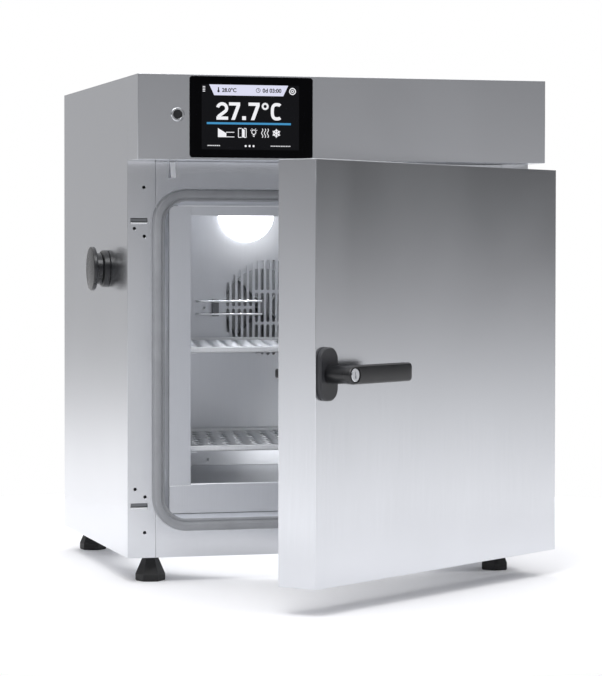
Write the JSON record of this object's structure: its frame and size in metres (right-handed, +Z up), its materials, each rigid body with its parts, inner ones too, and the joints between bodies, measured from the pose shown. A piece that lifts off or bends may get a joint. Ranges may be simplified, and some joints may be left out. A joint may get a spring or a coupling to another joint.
{
  "type": "laboratory incubator",
  "caption": "Bench-top laboratory incubator: stainless case and chamber, hinged insulated door with a lever handle, fan behind a slotted baffle, shelves, side port and a display header.",
  "frame": {"origin": "centre of the sole of the front left foot, on the bench", "axes": "+X to the right as seen from the front, +Y from the door to the rear panel, +Z up"},
  "size_m": [0.6399, 0.9229, 0.704],
  "materials": {
    "satin_stainless": "satin stainless sheet, fine upright grain",
    "chamber_stainless": "smooth bright stainless sheet",
    "display_glass": "black glass, opaque from behind, high gloss",
    "silicone_seal": "grey silicone, smooth and matt",
    "black_nylon": "black moulded nylon with a fine grain",
    "black_rubber": "matt black rubber",
    "silicone_plug": "mid grey silicone, smooth",
    "bright_steel": "polished steel",
    "mineral_wool": "fibrous mineral wool",
    "opal_lens": "opal plastic, lit from behind",
    "circuit_board": "green solder resist",
    "cast_aluminium": "as cast, dull",
    "heater_sheath": "heat-tinted steel sheath"
  },
  "bodies": {
    "cabinet": {"air_baffle": "chamber_stainless", "base_panel": "satin_stainless", "bay_divider": "satin_stainless", "chamber_ceiling": "chamber_stainless", "chamber_floor": "chamber_stainless", "chamber_rear_wall": "chamber_stainless", "chamber_wall_left": "chamber_stainless", "chamber_wall_right": "chamber_stainless", "control_board": "circuit_board", "control_probe": "bright_steel", "display_glass": "display_glass", "display_module": "black_nylon", "door_gasket": "silicone_seal", "door_switch": "black_nylon", "fan_motor": "cast_aluminium", "front_frame": "satin_stainless", "header_shell": "satin_stainless", "header_underside": "satin_stainless", "hinge_bracket_bottom": "bright_steel", "hinge_bracket_top": "bright_steel", "insulation_jacket": "mineral_wool", "lamp_lens": "opal_lens", "mains_inlet": "black_nylon", "mains_switch_frame": "black_nylon", "port_tube": "black_nylon", "power_button_bezel": "bright_steel", "probe_clip": "black_nylon", "rear_panel": "satin_stainless", "ring_heater": "heater_sheath", "safety_probe": "bright_steel", "shelf_lower_guide_left": "chamber_stainless", "shelf_lower_guide_right": "chamber_stainless", "shelf_upper_guide_left": "chamber_stainless", "shelf_upper_guide_right": "chamber_stainless", "side_panel_left": "satin_stainless", "side_panel_right": "satin_stainless", "throat_trim": "satin_stainless", "top_panel": "satin_stainless"},
    "door": {"door_skin": "satin_stainless", "door_back_panel": "satin_stainless", "door_core": "mineral_wool", "handle_plate": "black_nylon", "hinge_pin_top": "bright_steel", "hinge_pin_bottom": "bright_steel"},
    "lever": {"handle_lever": "black_nylon", "handle_spindle": "bright_steel", "release_cam": "black_nylon"},
    "lock_cylinder": {"lock_cylinder": "bright_steel"},
    "power_button": {"power_button": "black_nylon"},
    "fan": {"fan_impeller": "cast_aluminium"},
    "mains_rocker": {"mains_rocker": "black_nylon"},
    "switch_leaf": {"door_switch_leaf": "bright_steel"},
    "port_plug": {"port_plug": "silicone_plug"},
    "shelf_upper": {"shelf_upper": "chamber_stainless"},
    "shelf_lower": {"shelf_lower": "chamber_stainless"},
    "foot_front_left": {"foot_front_left": "black_rubber"},
    "foot_front_right": {"foot_front_right": "black_rubber"},
    "foot_rear_left": {"foot_rear_left": "black_rubber"},
    "foot_rear_right": {"foot_rear_right": "black_rubber"}
  },
  "joints": [
    {"name": "door_hinge", "type": "hinge", "parent": "cabinet", "child": "door", "pos_m": [0.533, -0.0517, 0.3068], "axis": [0, 0, 1], "range_deg": [-38.4, 61.6]},
    {"name": "handle_turn", "type": "hinge", "parent": "door", "child": "lever", "pos_m": [0.13193, -0.43033, 0.307], "axis": [0.6211, -0.7837, 0], "range_deg": [-90, 0]},
    {"name": "key_turn", "type": "hinge", "parent": "lever", "child": "lock_cylinder", "pos_m": [0.13193, -0.43033, 0.307], "axis": [0.6211, -0.7837, 0], "range_deg": [0, 90]},
    {"name": "power_button_press", "type": "slide", "parent": "cabinet", "child": "power_button", "axis": [0, 1, 0], "range_m": [0, 0.0015], "stiffness_N_per_m": 400},
    {"name": "fan_spin", "type": "hinge", "parent": "cabinet", "child": "fan", "pos_m": [0.256, 0.344, 0.376], "axis": [0, 1, 0], "continuous": true},
    {"name": "mains_rocker_tilt", "type": "hinge", "parent": "cabinet", "child": "mains_rocker", "pos_m": [0.484, 0.4415, 0.639], "axis": [1, 0, 0], "range_deg": [-18, 0]},
    {"name": "switch_leaf_swing", "type": "hinge", "parent": "cabinet", "child": "switch_leaf", "pos_m": [0.0246, -0.0324, 0.5855], "axis": [1, 0, 0], "range_deg": [0, 15], "stiffness_Nm_per_rad": 0.02},
    {"name": "port_plug_pull", "type": "slide", "parent": "cabinet", "child": "port_plug", "axis": [-1, 0, 0], "range_m": [0, 0.08]},
    {"name": "shelf_upper_slide", "type": "slide", "parent": "cabinet", "child": "shelf_upper", "axis": [0, -1, 0], "range_m": [0, 0.035]},
    {"name": "shelf_lower_slide", "type": "slide", "parent": "cabinet", "child": "shelf_lower", "axis": [0, -1, 0], "range_m": [0, 0.035]},
    {"name": "foot_front_left_turn", "type": "hinge", "parent": "cabinet", "child": "foot_front_left", "pos_m": [0, 0, 0.015], "axis": [0, 0, 1], "continuous": true},
    {"name": "foot_front_right_turn", "type": "hinge", "parent": "cabinet", "child": "foot_front_right", "pos_m": [0.512, 0, 0.015], "axis": [0, 0, 1], "continuous": true},
    {"name": "foot_rear_left_turn", "type": "hinge", "parent": "cabinet", "child": "foot_rear_left", "pos_m": [0, 0.4145, 0.015], "axis": [0, 0, 1], "continuous": true},
    {"name": "foot_rear_right_turn", "type": "hinge", "parent": "cabinet", "child": "foot_rear_right", "pos_m": [0.512, 0.4145, 0.015], "axis": [0, 0, 1], "continuous": true}
  ]
}
